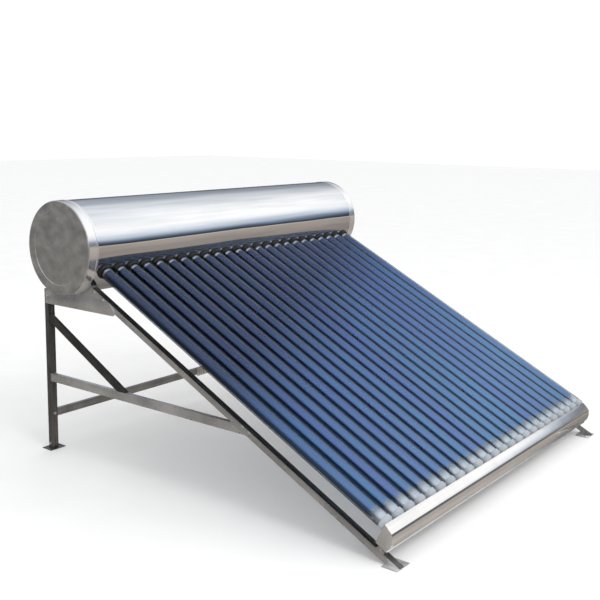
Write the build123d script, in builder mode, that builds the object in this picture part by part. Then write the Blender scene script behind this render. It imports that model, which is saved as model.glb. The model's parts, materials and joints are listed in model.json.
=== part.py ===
from build123d import *
import math
import os

# Thermosiphon solar water heater: an insulated horizontal tank on a folded-sheet frame,
# with a row of evacuated glass tubes running down from the tank to a tail rail.
# Millimetres. X runs along the tank, +Y points to the rear, +Z up.
# Origin: on the floor, under the middle of the tank and of the whole footprint.

# ---- driving dimensions ----
# evacuated tubes
tube_count = 24
tube_pitch = 78.0
tube_radius = 29.0
tube_length = 1800.0
tube_glass = 1.6
vacuum_gap = 3.9  # between the inside of the outer glass and the absorber tube
nipple_length = 15.0
nipple_radius = 5.0
slope_rise_per_run = 0.5
tube_dip = 48.0  # how far a tube's open end reaches into the inner tank
rim_depth = 6.0  # solid glass at the open rim, where the two walls are fused
absorber_end_gap = 10.0  # vacuum left between the two domes

# tank
tank_overhang = 103.0  # from the axis of an end tube out to the end of the tank
tank_height = 996.0  # height of the tank's axis above the floor
shell_radius = 212.5
shell_sheet = 1.0
shell_end_gap = 0.2
cap_lip = 55.0
cap_corner = 6.0
cap_panel_rim = 44.5  # from the shell in to the edge of the recessed panel
cap_panel_recess = 1.5
cap_bead_width = 6.0
cap_bead_height = 1.2
vent_hole_radius = 3.5
vent_hole_places = ((54.0, 117.0), (57.0, 150.0), (47.0, -123.0))  # off the tank's axis, to the rear and up
boss_places = ((7.0, 127.0), (-3.0, -124.0))
boss_radius = 11.0
boss_height = 1.2
foam_thickness = 49.5
inner_sheet = 1.2
inner_end_foam = 60.0  # from the tank's end in to the inner tank's straight barrel
inner_head_bulge = 35.0
port_radius = 10.0
port_bore_radius = 8.0
port_thread_radius = 10.5
port_thread_length = 24.0
port_inside = 5.0  # pipe left standing inside the inner tank
port_setback = 240.0  # from the end of the inner barrel back to a water pipe
port_fall = 30.0  # degrees that a water pipe points below the rear
vent_rise = 45.0  # degrees that the air vent points above the rear
grommet_radius = 16.0
grommet_flange = 20.0
grommet_depth = 7.0
grommet_thickness = 3.0

# seals at the tank and cups at the tail
running_gap = 0.05  # radial play of a tube in its seals
seal_neck_wall = 2.5  # walls are measured out from the tube
seal_lip_wall = 5.5
seal_lip = 5.0
seal_gap = 0.2  # a seal's outer lip off the top of the barrel
tunnel_gap = 0.5
collar_wall = 5.0
collar_flange_wall = 7.5
collar_tip_wall = 2.0
collar_gap = 0.2
collar_depth = 12.0
collar_flange = 4.0
collar_nose = 9.0
cup_rim = 1.2
cup_round = 11.0
cup_seat_angle = 35.0  # a point of the seat's arc, in degrees off the tube's axis
cup_seat_gap = 0.3
cup_stem_radius = 10.0
cup_stem_length = 4.0
cup_bore_radius = 6.5
cup_back_gap = 3.0  # from a tube's dome to the face the cup sits on

# tail rail, in distances from its back web and from the plane of the tube axes
tail_overhang = 31.2  # from the axis of an end tube out to the end of the rail
tail_sheet = 1.2
tail_top = 13.0
tail_crease_out = 38.0
tail_crease_drop = 12.0
tail_bulge_out = 58.0
tail_bulge_drop = 53.5
tail_lip_out = 52.5
tail_depth = 87.0  # from the top back edge down to the underside
tail_hem_out = 3.5
tail_hem = 3.0

# frame
frame_overhang = 22.0  # from the axis of an end tube out to the frame's outer faces
sheet = 1.5
rail_drop = 97.0  # from the tube axes down to the top of a front rail
rail_web = 26.0
rail_flange = 30.0
rail_tank_gap = 3.0
leg_setback = 192.0  # from the tank's axis back to the front face of a rear leg
leg_depth = 26.0
leg_flange = 35.0
leg_top_drop = 2.5  # from the underside of the shell down to the top of a rear leg
saddle_sheet = 2.0
saddle_band = 40.0
saddle_bottom_drop = 72.5  # from the underside of the shell down to the plate's lower edge
saddle_nose_run = 118.0  # length of saddle plate lying on the front rail
saddle_rear_angle = 300.0
saddle_over_leg = 18.0  # the plate's reach over a leg, from its front face
saddle_nose_radius = 12.0
saddle_bolt_shares = (0.16, 0.72)  # along the saddle's nose
leg_bolt_share = 0.4  # across the leg
saddle_screw_angles = (-112.0, -75.0)  # up from the rear
saddle_screw_share = 0.6  # across the saddle's band
tie_top_height = 374.0
tie_web = 38.0
tie_flange = 20.0
tie_bolt_shares = (0.28, 0.72)  # up the tie's web
tie_rail_gap = 0.3
brace_web = 28.0
brace_flange = 22.0
brace_rise = 0.542
brace_leg_height = 645.0  # where the brace's middle line meets the rear leg
bar_height = 158.0
bar_web = 35.0
bar_flange = 20.0
splice_start = 60.0
splice_length = 140.0
splice_web = 51.0
splice_bolt_shares = (0.12, 0.38, 0.62, 0.88)
cross_tie_depth = 34.0
cross_tie_front = 43.0  # front face of the cross tie, out from the tail rail's back web
tail_bolt_shares = (-0.75, 0.0, 0.75)  # of the frame's half width
pad_width = 84.0
pad_depth = 67.0
pad_sheet = 3.0
pad_inset = 24.0  # from the frame's outer face in to the middle of a pad
pad_rear_reach = 246.0
pad_tab = 40.0
pad_tab_gap = 1.0
pad_bolt_share = 0.62  # up a rear pad's tab
pad_front_tab = 24.0
pad_front_bolt_back = 54.0  # along the rail, from its tip to the pad's bolt
pad_tab_sheet = 2.0
anchor_inset = 51.0
anchor_radius = 6.0

# fasteners
bolt_radius = 4.0
bolt_hole_radius = 4.5
bolt_head_radius = 7.5
bolt_head = 5.3
bolt_nut = 6.5
bolt_end = 2.5
screw_radius = 3.0
screw_length = 14.0
drill_reach = 15.0

# ---- values worked out from them ----
tilt = math.atan(slope_rise_per_run)
slope_cos = math.cos(tilt)
slope_sin = math.sin(tilt)
row_half_width = (tube_count - 1) / 2 * tube_pitch
absorber_radius = tube_radius - tube_glass - vacuum_gap
inner_radius = shell_radius - foam_thickness
tube_top = inner_radius - tube_dip
tube_end = tube_top + tube_length
dome_centre = tube_end - nipple_length - tube_radius
tail_back = tube_end - nipple_length + cup_back_gap
rail_top = -rail_drop
rail_bottom = rail_top - rail_web
tube_stations = [i * tube_pitch - row_half_width for i in range(tube_count)]
seal_neck_radius = tube_radius + seal_neck_wall
seal_lip_radius = tube_radius + seal_lip_wall
tunnel_radius = seal_lip_radius + tunnel_gap
collar_radius = tube_radius + collar_wall
cup_radius = tube_radius
tank_half_length = row_half_width + tank_overhang
cap_radius = shell_radius + shell_sheet
cap_panel_radius = shell_radius - cap_panel_rim
shell_half_length = tank_half_length - cap_corner - shell_end_gap
inner_half_length = tank_half_length - inner_end_foam
tail_half_length = row_half_width + tail_overhang
frame_half_width = row_half_width + frame_overhang
sides = {"left": -1, "right": 1}

# the front rail's tip sets the front of the footprint and the rear pads its back
rail_tip = (tank_height - pad_sheet + rail_top * slope_cos) / slope_sin
front_reach = rail_tip * slope_cos + rail_top * slope_sin
tank_y = (front_reach - pad_rear_reach) / 2
leg_front = tank_y + leg_setback
leg_top = tank_height - shell_radius - leg_top_drop
saddle_bottom = tank_height - shell_radius - saddle_bottom_drop
leg_middle_x = frame_half_width - leg_flange / 2
pad_y = {"rear": tank_y + pad_rear_reach - pad_depth / 2, "front": tank_y - front_reach + pad_depth / 2}

down_slope = Vector(0, -slope_cos, -slope_sin)
off_slope = Vector(0, -slope_sin, slope_cos)
tank_axis = Axis((0, tank_y, tank_height), (1, 0, 0))


# ---- places and planes ----
def slope_yz(along, above):
    """Side view (Y, Z) of a point: along the tubes from the tank's axis, and above the tube axes."""
    y = tank_y - along * slope_cos - above * slope_sin
    z = tank_height - along * slope_sin + above * slope_cos
    return (y, z)


def slope_point(x, along, above):
    y, z = slope_yz(along, above)
    return (x, y, z)


def slope_at_height(height, above):
    """How far down the slope a line parallel to the tubes comes down to a height."""
    return (tank_height - height + above * slope_cos) / slope_sin


def tube_profile_plane(x):
    """Plane through a tube's axis: sketch x is the radius and sketch y the distance down the slope."""
    return Plane(origin=(x, tank_y, tank_height), x_dir=(1, 0, 0), z_dir=-off_slope)


def tube_cross_plane(x, along):
    """Plane square to a tube's axis, facing down the slope."""
    return Plane(origin=slope_point(x, along, 0), x_dir=(1, 0, 0), z_dir=down_slope)


def tube_axis(x):
    return Axis((x, tank_y, tank_height), down_slope)


def slope_side_plane(x):
    """Side plane in slope distances: sketch x runs down the slope, sketch y off it, extruded towards -X."""
    return Plane(origin=(x, tank_y, tank_height), x_dir=down_slope, z_dir=(-1, 0, 0))


def side_plane(x):
    """Side plane: sketch x is Y and sketch y is Z, extruded towards +X."""
    return Plane(origin=(x, 0, 0), x_dir=(0, 1, 0), z_dir=(1, 0, 0))


def slab_plane(side, outer, thickness):
    """Side plane at the low X of a slab that reaches inwards from a distance off the middle."""
    return side_plane(outer - thickness if side > 0 else -outer)


def tank_profile_plane():
    """Plane through the tank's axis: sketch x is X and sketch y the radius."""
    return Plane(origin=(0, tank_y, tank_height), x_dir=(1, 0, 0), z_dir=(0, -1, 0))


def radial_plane(x, angle, radius):
    """Plane square to a radius of the tank; the angle turns up from the rear."""
    turn = math.radians(angle)
    out = Vector(0, math.cos(turn), math.sin(turn))
    return Plane(origin=Vector(x, tank_y, tank_height) + out * radius, x_dir=(1, 0, 0), z_dir=out)


def save(piece, node):
    piece.label = node
    export_step(piece, f"parts/{node}.step")


# ---- where the fasteners go ----
def side_bolt(side, outer, y, z):
    return Plane(origin=(side * outer, y, z), x_dir=(0, 1, 0), z_dir=(side, 0, 0))


def front_bolt(x, y, z):
    return Plane(origin=(x, y, z), x_dir=(1, 0, 0), z_dir=(0, -1, 0))


def slope_bolt(x, along, above, facing):
    return Plane(origin=slope_point(x, along, above), x_dir=(1, 0, 0), z_dir=off_slope * facing)


saddle_outer = frame_half_width + saddle_sheet
rail_middle = (rail_top + rail_bottom) / 2
rail_start = math.sqrt((shell_radius + saddle_sheet) ** 2 - rail_drop**2) + rail_tank_gap
tie_bottom_height = tie_top_height - tie_web
brace_angle = math.atan(brace_rise)
brace_half_height = brace_web / math.cos(brace_angle) / 2
brace_leg_face = leg_front - sheet
brace_tie_face = tie_top_height + sheet
brace_foot = leg_front - (brace_leg_height - brace_tie_face) / brace_rise
bar_middle = bar_height + bar_web / 2
splice_bolt_x = [splice_start + splice_length * share for share in splice_bolt_shares]
cross_tie_top = tail_top - tail_depth
cross_tie_middle = tail_back + cross_tie_front - cross_tie_depth / 2
tail_bolt_x = [frame_half_width * share for share in tail_bolt_shares]
foot_bolt_height = pad_sheet + pad_tab * pad_bolt_share
rail_foot_bolt = slope_yz(rail_tip - pad_front_bolt_back, rail_middle)


def saddle_leg_bolt(side):
    y = leg_front + leg_depth * leg_bolt_share
    return side_bolt(side, saddle_outer, y, (leg_top + saddle_bottom) / 2)


def saddle_rail_bolts(side):
    places = [slope_yz(rail_start + saddle_nose_run * share, rail_middle) for share in saddle_bolt_shares]
    return [side_bolt(side, saddle_outer, y, z) for y, z in places]


def rail_tie_bolts(side):
    heights = [tie_bottom_height + tie_web * share for share in tie_bolt_shares]
    places = [slope_yz(slope_at_height(height, rail_middle), rail_middle) for height in heights]
    return [side_bolt(side, frame_half_width, y, z) for y, z in places]


def leg_front_bolts(side):
    """Side tie and knee brace tabs, in front of the leg."""
    heights = (tie_bottom_height + tie_web / 2, brace_leg_height)
    return [front_bolt(side * leg_middle_x, leg_front - sheet, height) for height in heights]


def leg_bar_bolt(side):
    return front_bolt(side * leg_middle_x, leg_front, bar_middle)


def brace_tie_bolt(side):
    x = side * (frame_half_width - sheet - tie_flange / 2)
    return Plane(origin=(x, brace_foot, brace_tie_face), x_dir=(1, 0, 0), z_dir=(0, 0, 1))


def foot_bolt(side, place):
    if place == "rear":
        return side_bolt(side, frame_half_width, leg_front + leg_depth / 2, foot_bolt_height)
    return side_bolt(side, frame_half_width, *rail_foot_bolt)


def splice_bolts():
    return [front_bolt(x, leg_front, bar_middle) for x in splice_bolt_x]


def cross_tie_rail_bolt(side):
    x = side * (frame_half_width - rail_flange / 2)
    return slope_bolt(x, cross_tie_middle, rail_top + sheet, 1)


def tail_bolts():
    return [slope_bolt(x, cross_tie_middle, cross_tie_top - sheet, -1) for x in tail_bolt_x]


def tank_screws():
    x = frame_half_width - saddle_band * saddle_screw_share
    places = [(side * x, angle) for side in sides.values() for angle in saddle_screw_angles]
    return [radial_plane(x, angle, shell_radius + saddle_sheet) for x, angle in places]


# ---- evacuated tubes ----
def make_evacuated_tube(x):
    """Two glass walls fused at the open rim, a vacuum between them, and a sealed nipple at the foot."""
    outer_inside = tube_radius - tube_glass
    absorber_inside = absorber_radius - tube_glass
    absorber_dome = dome_centre - absorber_end_gap
    rim = tube_top + rim_depth
    nipple_start = dome_centre + math.sqrt(tube_radius**2 - nipple_radius**2)
    round_share = math.sqrt(0.5)
    with BuildPart() as evacuated_tube:
        with BuildSketch(tube_profile_plane(x)):
            with BuildLine():
                Polyline((0, tube_top), (tube_radius, tube_top), (tube_radius, dome_centre))
                ThreePointArc(
                    (tube_radius, dome_centre),
                    (tube_radius * round_share, dome_centre + tube_radius * round_share),
                    (nipple_radius, nipple_start),
                )
                Polyline(
                    (nipple_radius, nipple_start),
                    (nipple_radius / 2, tube_end),
                    (0, tube_end),
                    (0, tube_top),
                )
            make_face()
        revolve(axis=tube_axis(x))
        with BuildSketch(tube_profile_plane(x)):
            with BuildLine():
                Polyline(
                    (absorber_radius, absorber_dome),
                    (absorber_radius, rim),
                    (outer_inside, rim),
                    (outer_inside, dome_centre),
                )
                ThreePointArc(
                    (outer_inside, dome_centre),
                    (outer_inside * round_share, dome_centre + outer_inside * round_share),
                    (0, dome_centre + outer_inside),
                )
                Line((0, dome_centre + outer_inside), (0, absorber_dome + absorber_radius))
                ThreePointArc(
                    (0, absorber_dome + absorber_radius),
                    (absorber_radius * round_share, absorber_dome + absorber_radius * round_share),
                    (absorber_radius, absorber_dome),
                )
            make_face()
        revolve(axis=tube_axis(x), mode=Mode.SUBTRACT)
        with BuildSketch(tube_profile_plane(x)):
            with BuildLine():
                Polyline(
                    (0, absorber_dome + absorber_inside),
                    (0, tube_top),
                    (absorber_inside, tube_top),
                    (absorber_inside, absorber_dome),
                )
                ThreePointArc(
                    (absorber_inside, absorber_dome),
                    (absorber_inside * round_share, absorber_dome + absorber_inside * round_share),
                    (0, absorber_dome + absorber_inside),
                )
            make_face()
        revolve(axis=tube_axis(x), mode=Mode.SUBTRACT)
    return evacuated_tube.part


def make_tube_seals():
    """Silicone rings in the inner tank's ports, each with a lip on either side of the wall."""
    inside_wall = math.sqrt((inner_radius - inner_sheet) ** 2 - seal_lip_radius**2)
    outside_wall = inner_radius + seal_gap
    bore = tube_radius + running_gap
    with BuildPart() as tube_seals:
        for x in tube_stations:
            with BuildSketch(tube_profile_plane(x)):
                with BuildLine():
                    Polyline(
                        (bore, inside_wall - seal_lip),
                        (seal_lip_radius, inside_wall - seal_lip),
                        (seal_lip_radius, inside_wall),
                        (seal_neck_radius, inside_wall),
                        (seal_neck_radius, outside_wall),
                        (seal_lip_radius, outside_wall),
                        (seal_lip_radius, outside_wall + seal_lip),
                        (bore, outside_wall + seal_lip),
                        close=True,
                    )
                make_face()
            revolve(axis=tube_axis(x))
    return tube_seals.part


def make_dust_rings():
    """Rubber collars that close the tube holes in the outer shell and keep dust off the seals."""
    bore = tube_radius + running_gap
    face = shell_radius + collar_gap
    flange_radius = tube_radius + collar_flange_wall
    with BuildPart() as dust_rings:
        for x in tube_stations:
            with BuildSketch(tube_profile_plane(x)):
                with BuildLine():
                    Polyline(
                        (bore, face - collar_depth),
                        (collar_radius, face - collar_depth),
                        (collar_radius, face),
                        (flange_radius, face),
                        (flange_radius, face + collar_flange),
                        (tube_radius + collar_tip_wall, face + collar_flange + collar_nose),
                        (bore, face + collar_flange + collar_nose),
                        close=True,
                    )
                make_face()
            revolve(axis=tube_axis(x))
    return dust_rings.part


def make_tube_cups():
    """Plastic cups in front of the tail rail, each as wide as its tube, seating the tube's dome.
    A stem round the tube's nipple goes through the rail."""
    seat = tube_radius + cup_seat_gap
    seat_turn = math.radians(cup_seat_angle)
    rim_inside = cup_radius - cup_rim
    seat_rim = dome_centre + math.sqrt(seat**2 - rim_inside**2)
    seat_foot = dome_centre + math.sqrt(seat**2 - cup_bore_radius**2)
    seat_middle = (seat * math.sin(seat_turn), dome_centre + seat * math.cos(seat_turn))
    stem_end = tail_back + cup_stem_length
    round_inset = cup_round * (1 - math.sqrt(0.5))
    with BuildPart() as tube_cups:
        for x in tube_stations:
            with BuildSketch(tube_profile_plane(x)):
                with BuildLine():
                    ThreePointArc((rim_inside, seat_rim), seat_middle, (cup_bore_radius, seat_foot))
                    Polyline(
                        (cup_bore_radius, seat_foot),
                        (cup_bore_radius, stem_end),
                        (cup_stem_radius, stem_end),
                        (cup_stem_radius, tail_back),
                        (cup_radius - cup_round, tail_back),
                    )
                    ThreePointArc(
                        (cup_radius - cup_round, tail_back),
                        (cup_radius - round_inset, tail_back - round_inset),
                        (cup_radius, tail_back - cup_round),
                    )
                    Polyline(
                        (cup_radius, tail_back - cup_round),
                        (cup_radius, seat_rim),
                        (rim_inside, seat_rim),
                    )
                make_face()
            revolve(axis=tube_axis(x))
    return tube_cups.part


# ---- tank ----
port_x = inner_half_length - port_setback
port_places = {
    "cold_inlet_pipe": (port_x, -port_fall),
    "hot_outlet_pipe": (-port_x, -port_fall),
    "vent_pipe": (0, vent_rise),
}


def make_outer_shell():
    """Polished sheet wrapped round the foam, with a row of tube holes."""
    with BuildPart() as tank_outer_shell:
        with BuildSketch(side_plane(-shell_half_length)):
            with Locations((tank_y, tank_height)):
                Circle(shell_radius)
                Circle(shell_radius - shell_sheet, mode=Mode.SUBTRACT)
        extrude(amount=2 * shell_half_length)
        with BuildSketch(*[tube_cross_plane(x, 0) for x in tube_stations]):
            Circle(collar_radius)
        extrude(amount=2 * shell_radius, mode=Mode.SUBTRACT)
        with BuildSketch(*[radial_plane(x, angle, inner_radius) for x, angle in port_places.values()]):
            Circle(grommet_radius)
        extrude(amount=shell_radius, mode=Mode.SUBTRACT)
        with BuildSketch(*tank_screws()):
            Circle(screw_radius)
        extrude(amount=-screw_length, mode=Mode.SUBTRACT)
    return tank_outer_shell.part


def make_end_cap(side):
    """Pressed cap: a flat face with a recessed panel, a rounded corner and a lip round the shell."""
    bead_start = cap_lip - 2 * cap_bead_width
    inner_corner = cap_corner - shell_sheet
    panel_back = cap_panel_recess + shell_sheet

    def at(depth, radius):
        return (side * (tank_half_length - depth), radius)

    def corner(radius):
        half_turn = radius * math.sqrt(0.5)
        return at(cap_corner - half_turn, cap_radius - cap_corner + half_turn)

    with BuildPart() as end_cap:
        with BuildSketch(tank_profile_plane()):
            with BuildLine():
                Polyline(
                    at(cap_panel_recess, 0),
                    at(cap_panel_recess, cap_panel_radius - cap_panel_recess),
                    at(0, cap_panel_radius),
                    at(0, cap_radius - cap_corner),
                )
                ThreePointArc(at(0, cap_radius - cap_corner), corner(cap_corner), at(cap_corner, cap_radius))
                Polyline(
                    at(cap_corner, cap_radius),
                    at(bead_start, cap_radius),
                    at(bead_start + cap_bead_width / 2, cap_radius + cap_bead_height),
                    at(bead_start + cap_bead_width, cap_radius),
                    at(cap_lip, cap_radius),
                    at(cap_lip, shell_radius),
                    at(cap_corner, shell_radius),
                )
                inside_edge = at(shell_sheet, cap_radius - cap_corner)
                ThreePointArc(at(cap_corner, shell_radius), corner(inner_corner), inside_edge)
                Polyline(
                    inside_edge,
                    at(shell_sheet, cap_panel_radius),
                    at(panel_back, cap_panel_radius - cap_panel_recess),
                    at(panel_back, 0),
                    at(cap_panel_recess, 0),
                )
            make_face()
        revolve(axis=tank_axis)
        # vent holes that let the foam's gas out, and two pressed bosses beside them
        panel = side_plane(side * (tank_half_length - cap_panel_recess))
        with BuildSketch(panel):
            with Locations(*[(tank_y + y, tank_height + z) for y, z in vent_hole_places]):
                Circle(vent_hole_radius)
        extrude(amount=drill_reach, both=True, mode=Mode.SUBTRACT)
        with BuildSketch(panel):
            with Locations(*[(tank_y + y, tank_height + z) for y, z in boss_places]):
                Circle(boss_radius)
        extrude(amount=side * boss_height)
    return end_cap.part


def inner_head_arc(thickness):
    """Radius, centre and middle point of the arc that an inner head follows, in by a thickness."""
    crown = (inner_radius**2 + inner_head_bulge**2) / (2 * inner_head_bulge)
    centre = inner_half_length + inner_head_bulge - crown
    radius = crown - thickness
    edge = math.sqrt(radius**2 - (inner_half_length - centre) ** 2)
    turn = math.asin(edge / radius) / 2
    return centre + radius, edge, (centre + radius * math.cos(turn), radius * math.sin(turn))


def make_foam():
    """Polyurethane foam filling the space between the shell and the inner tank."""
    crown, edge, middle = inner_head_arc(0)
    with BuildPart() as foam_insulation:
        with BuildSketch(side_plane(-shell_half_length)):
            with Locations((tank_y, tank_height)):
                Circle(shell_radius - shell_sheet)
        extrude(amount=2 * shell_half_length)
        with BuildSketch(tank_profile_plane()):
            with BuildLine():
                Polyline((-crown, 0), (crown, 0))
                ThreePointArc((crown, 0), middle, (inner_half_length, edge))
                Line((inner_half_length, edge), (-inner_half_length, edge))
                ThreePointArc((-inner_half_length, edge), (-middle[0], middle[1]), (-crown, 0))
            make_face()
        revolve(axis=tank_axis, mode=Mode.SUBTRACT)
        with BuildSketch(*[tube_cross_plane(x, 0) for x in tube_stations]):
            Circle(tunnel_radius)
        extrude(amount=2 * shell_radius, mode=Mode.SUBTRACT)
        with BuildSketch(*[radial_plane(x, angle, inner_radius / 2) for x, angle in port_places.values()]):
            Circle(grommet_radius)
        extrude(amount=shell_radius, mode=Mode.SUBTRACT)
        with BuildSketch(*tank_screws()):
            Circle(screw_radius)
        extrude(amount=-screw_length - saddle_sheet, mode=Mode.SUBTRACT)
    return foam_insulation.part


def make_inner_barrel():
    """Food-grade steel barrel with a port for each tube and a hole for each pipe."""
    with BuildPart() as inner_tank_barrel:
        with BuildSketch(side_plane(-inner_half_length)):
            with Locations((tank_y, tank_height)):
                Circle(inner_radius)
                Circle(inner_radius - inner_sheet, mode=Mode.SUBTRACT)
        extrude(amount=2 * inner_half_length)
        with BuildSketch(*[tube_cross_plane(x, 0) for x in tube_stations]):
            Circle(seal_neck_radius)
        extrude(amount=2 * inner_radius, mode=Mode.SUBTRACT)
        with BuildSketch(*[radial_plane(x, angle, inner_radius / 2) for x, angle in port_places.values()]):
            Circle(port_radius)
        extrude(amount=inner_radius, mode=Mode.SUBTRACT)
    return inner_tank_barrel.part


def make_inner_head(side):
    """Dished end of the inner tank."""
    crown, edge, middle = inner_head_arc(0)
    inside_crown, inside_edge, inside_middle = inner_head_arc(inner_sheet)
    with BuildPart() as inner_head:
        with BuildSketch(tank_profile_plane()):
            with BuildLine():
                barrel_end = side * inner_half_length
                ThreePointArc((side * crown, 0), (side * middle[0], middle[1]), (barrel_end, edge))
                Line((barrel_end, edge), (barrel_end, inside_edge))
                ThreePointArc(
                    (barrel_end, inside_edge),
                    (side * inside_middle[0], inside_middle[1]),
                    (side * inside_crown, 0),
                )
                Line((side * inside_crown, 0), (side * crown, 0))
            make_face()
        revolve(axis=tank_axis)
    return inner_head.part


def make_port_pipe(x, angle):
    """Pipe stub from the inner tank out through the foam and the shell."""
    start = inner_radius - inner_sheet - port_inside
    thread_start = shell_radius + grommet_thickness
    with BuildPart() as port_pipe:
        with BuildSketch(radial_plane(x, angle, start)):
            Circle(port_radius)
        extrude(amount=thread_start - start)
        with BuildSketch(radial_plane(x, angle, thread_start)):
            Circle(port_thread_radius)
        extrude(amount=port_thread_length)
        with BuildSketch(radial_plane(x, angle, start)):
            Circle(port_bore_radius)
        extrude(amount=thread_start + port_thread_length - start, mode=Mode.SUBTRACT)
    return port_pipe.part


def make_port_grommets():
    """Rubber rings that close the shell round each pipe."""
    with BuildPart() as port_grommets:
        for x, angle in port_places.values():
            with BuildSketch(radial_plane(x, angle, shell_radius - grommet_depth)):
                Circle(grommet_radius)
                Circle(port_radius, mode=Mode.SUBTRACT)
            extrude(amount=grommet_depth)
            with BuildSketch(radial_plane(x, angle, shell_radius)):
                Circle(grommet_flange)
                Circle(port_radius, mode=Mode.SUBTRACT)
            extrude(amount=grommet_thickness)
    return port_grommets.part


# ---- frame ----
def make_tank_saddle(side):
    """Plate that ties a rear leg to a front rail, with a curved band the tank lies in."""
    front_angle = 180 + math.degrees(tilt + math.asin(rail_drop / shell_radius))
    band_outer = shell_radius + saddle_sheet
    band_front = 180 + math.degrees(tilt + math.asin(rail_drop / band_outer))
    sweep = saddle_rear_angle - front_angle
    band_sweep = saddle_rear_angle - band_front
    centre = (tank_y, tank_height)
    rear = leg_front + saddle_over_leg
    nose = rail_start + saddle_nose_run
    nose_low = slope_yz(slope_at_height(saddle_bottom, rail_bottom), rail_bottom)
    with BuildPart() as tank_saddle:
        with BuildSketch(slab_plane(side, saddle_outer, saddle_sheet)) as plate:
            with BuildLine():
                cradle = CenterArc(centre, shell_radius, front_angle, sweep)
                Polyline(
                    cradle @ 1,
                    (rear, leg_top),
                    (rear, saddle_bottom),
                    nose_low,
                    slope_yz(nose, rail_top),
                    cradle @ 0,
                )
            make_face()
            fillet(plate.vertices().sort_by(Axis.X)[:2], saddle_nose_radius)
        extrude(amount=saddle_sheet)
        with BuildSketch(slab_plane(side, frame_half_width, saddle_band)):
            with BuildLine():
                inside = CenterArc(centre, shell_radius, band_front, band_sweep)
                outside = CenterArc(centre, band_outer, band_front, band_sweep)
                Line(inside @ 0, outside @ 0)
                Line(inside @ 1, outside @ 1)
            make_face()
        extrude(amount=saddle_band)
        with BuildSketch(saddle_leg_bolt(side), *saddle_rail_bolts(side)):
            Circle(bolt_hole_radius)
        extrude(amount=drill_reach, both=True, mode=Mode.SUBTRACT)
        with BuildSketch(*tank_screws()):
            Circle(screw_radius)
        extrude(amount=-screw_length, mode=Mode.SUBTRACT)
    return tank_saddle.part


def make_front_rail(side):
    """Angle bar under the tubes, from the saddle down to the floor pad."""
    under_flange = rail_top - sheet
    with BuildPart() as front_rail:
        with BuildSketch(slab_plane(side, frame_half_width, sheet)):
            with BuildLine():
                Polyline(
                    slope_yz(rail_start, rail_top),
                    slope_yz(rail_start, rail_bottom),
                    slope_yz(slope_at_height(pad_sheet, rail_bottom), rail_bottom),
                    slope_yz(rail_tip, rail_top),
                    close=True,
                )
            make_face()
        extrude(amount=sheet)
        with BuildSketch(slab_plane(side, frame_half_width, rail_flange)):
            with BuildLine():
                Polyline(
                    slope_yz(rail_start, rail_top),
                    slope_yz(rail_start, under_flange),
                    slope_yz(slope_at_height(pad_sheet, under_flange), under_flange),
                    slope_yz(rail_tip, rail_top),
                    close=True,
                )
            make_face()
        extrude(amount=rail_flange)
        with BuildSketch(*saddle_rail_bolts(side), *rail_tie_bolts(side), foot_bolt(side, "front")):
            Circle(bolt_hole_radius)
        extrude(amount=drill_reach, both=True, mode=Mode.SUBTRACT)
        with BuildSketch(cross_tie_rail_bolt(side)):
            Circle(bolt_hole_radius)
        extrude(amount=-drill_reach, mode=Mode.SUBTRACT)
    return front_rail.part


def make_rear_leg(side):
    """Upright angle bar from the floor pad to the saddle."""
    height = leg_top - pad_sheet
    with BuildPart() as rear_leg:
        with BuildSketch(slab_plane(side, frame_half_width, sheet)):
            with Locations((leg_front, pad_sheet)):
                Rectangle(leg_depth, height, align=Align.MIN)
        extrude(amount=sheet)
        with BuildSketch(slab_plane(side, frame_half_width, leg_flange)):
            with Locations((leg_front, pad_sheet)):
                Rectangle(sheet, height, align=Align.MIN)
        extrude(amount=leg_flange)
        side_bolts = (saddle_leg_bolt(side), foot_bolt(side, "rear"))
        with BuildSketch(*side_bolts, *leg_front_bolts(side), leg_bar_bolt(side)):
            Circle(bolt_hole_radius)
        extrude(amount=-drill_reach, mode=Mode.SUBTRACT)
    return rear_leg.part


def make_side_tie(side):
    """Level angle bar between a rear leg and a front rail, with a folded tab on the leg."""
    under_rail = rail_top - sheet - tie_rail_gap
    outer = frame_half_width - sheet
    tab_face = leg_front - sheet
    tip_top = slope_yz(slope_at_height(tie_top_height, under_rail), under_rail)
    tip_under = slope_yz(slope_at_height(tie_top_height - sheet, under_rail), under_rail)
    tip_bottom = slope_yz(slope_at_height(tie_bottom_height, under_rail), under_rail)
    with BuildPart() as side_tie:
        with BuildSketch(slab_plane(side, outer, sheet)):
            with BuildLine():
                Polyline(
                    tip_top,
                    tip_bottom,
                    (leg_front, tie_bottom_height),
                    (leg_front, tie_top_height),
                    close=True,
                )
            make_face()
        extrude(amount=sheet)
        with BuildSketch(slab_plane(side, outer, tie_flange)):
            with BuildLine():
                Polyline(
                    tip_top,
                    tip_under,
                    (leg_front, tie_top_height - sheet),
                    (leg_front, tie_top_height),
                    close=True,
                )
            make_face()
        extrude(amount=tie_flange)
        with BuildSketch(slab_plane(side, outer, leg_flange - sheet)):
            with Locations((tab_face, tie_bottom_height)):
                Rectangle(sheet, tie_web, align=Align.MIN)
        extrude(amount=leg_flange - sheet)
        with BuildSketch(*rail_tie_bolts(side), leg_front_bolts(side)[0], brace_tie_bolt(side)):
            Circle(bolt_hole_radius)
        extrude(amount=-drill_reach, mode=Mode.SUBTRACT)
    return side_tie.part


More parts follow.
